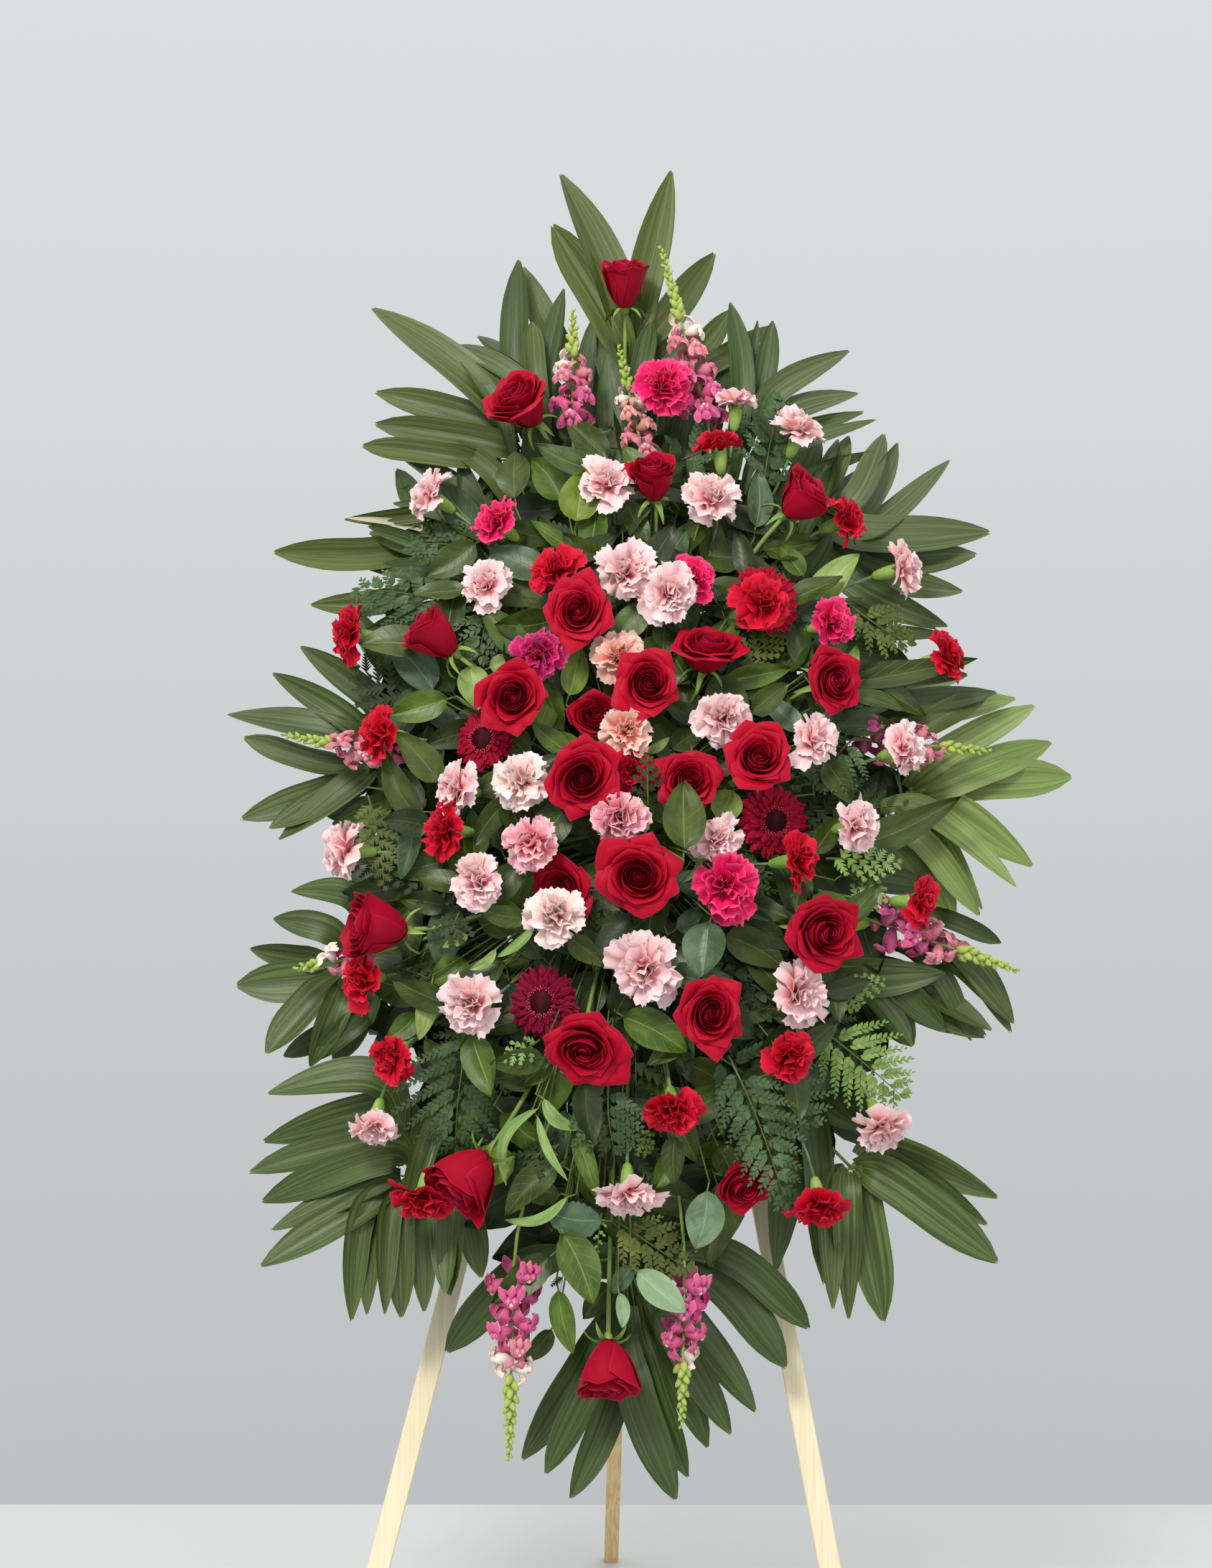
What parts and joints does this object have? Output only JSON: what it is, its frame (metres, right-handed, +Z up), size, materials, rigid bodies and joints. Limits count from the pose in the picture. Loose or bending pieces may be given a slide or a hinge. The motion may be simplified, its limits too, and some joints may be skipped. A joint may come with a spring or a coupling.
{
  "type": "standing funeral spray",
  "caption": "Standing oval spray of roses, carnations, gerberas and snapdragons over palm fronds, in a foam holder wired to a folding three-legged wooden easel.",
  "frame": {"origin": "on the floor, under the middle of the object's bounding box", "axes": "+Z up, -Y is the side that the flowers face, +X to the right of someone facing the flowers"},
  "size_m": [1.1096, 0.793, 2.0036],
  "materials": {
    "pale_pine": "matte",
    "tan_pine": "matte",
    "zinc_steel": "satin",
    "green_plastic": "satin",
    "floral_foam": "matte",
    "green_wire": "satin",
    "rose_red": "matte",
    "gerbera_crimson": "matte",
    "snapdragon_pink": "matte",
    "palm_green": "satin"
  },
  "bodies": {
    "stand": {"cage_cover": "green_plastic", "foam_block": "floral_foam", "front_leg_left": "pale_pine", "front_leg_right": "pale_pine", "gerbera_left": "gerbera_crimson", "gerbera_lower_left": "gerbera_crimson", "gerbera_right": "gerbera_crimson", "gerbera_upper_right": "gerbera_crimson", "head_block": "pale_pine", "hinge_bolt": "zinc_steel", "holder_tray": "green_plastic", "leg_screw_left": "zinc_steel", "leg_screw_right": "zinc_steel", "lower_rail": "pale_pine", "palm_bottom": "palm_green", "palm_bottom_left": "palm_green", "palm_bottom_right": "palm_green", "palm_left": "palm_green", "palm_lower_left": "palm_green", "palm_lower_right": "palm_green", "palm_right": "palm_green", "palm_top": "palm_green", "palm_upper_left": "palm_green", "palm_upper_right": "palm_green", "rose_behind_large": "rose_red", "rose_bottom": "rose_red", "rose_centre": "rose_red", "rose_centre_left": "rose_red", "rose_centre_right": "rose_red", "rose_deep_middle": "rose_red", "rose_large": "rose_red", "rose_left_bud": "rose_red", "rose_low_left_bud": "rose_red", "rose_low_right": "rose_red", "rose_lower_left": "rose_red", "rose_lower_left_side": "rose_red", "rose_lower_right": "rose_red", "rose_lower_right_tall": "rose_red", "rose_mid_left": "rose_red", "rose_mid_upper_left": "rose_red", "rose_mid_upper_right": "rose_red", "rose_middle": "rose_red", "rose_right": "rose_red", "rose_top": "rose_red", "rose_upper_left": "rose_red", "rose_upper_middle": "rose_red", "rose_upper_right": "rose_red", "snapdragon_bottom_left": "snapdragon_pink", "snapdragon_bottom_right": "snapdragon_pink", "snapdragon_left": "snapdragon_pink", "snapdragon_lower_left": "snapdragon_pink", "snapdragon_lower_right": "snapdragon_pink", "snapdragon_right": "snapdragon_pink", "snapdragon_top_left": "snapdragon_pink", "snapdragon_top_middle": "snapdragon_pink", "snapdragon_top_right": "snapdragon_pink", "upper_rail": "pale_pine", "wire_tie_lower": "green_wire", "wire_tie_upper": "green_wire"},
    "rear_leg": {"rear_leg": "tan_pine"}
  },
  "joints": [
    {"name": "rear_leg_fold", "type": "hinge", "parent": "stand", "child": "rear_leg", "pos_m": [-0.013, 0.09233, 1.35586], "axis": [1, 0, 0], "range_deg": [-25, 0]}
  ]
}
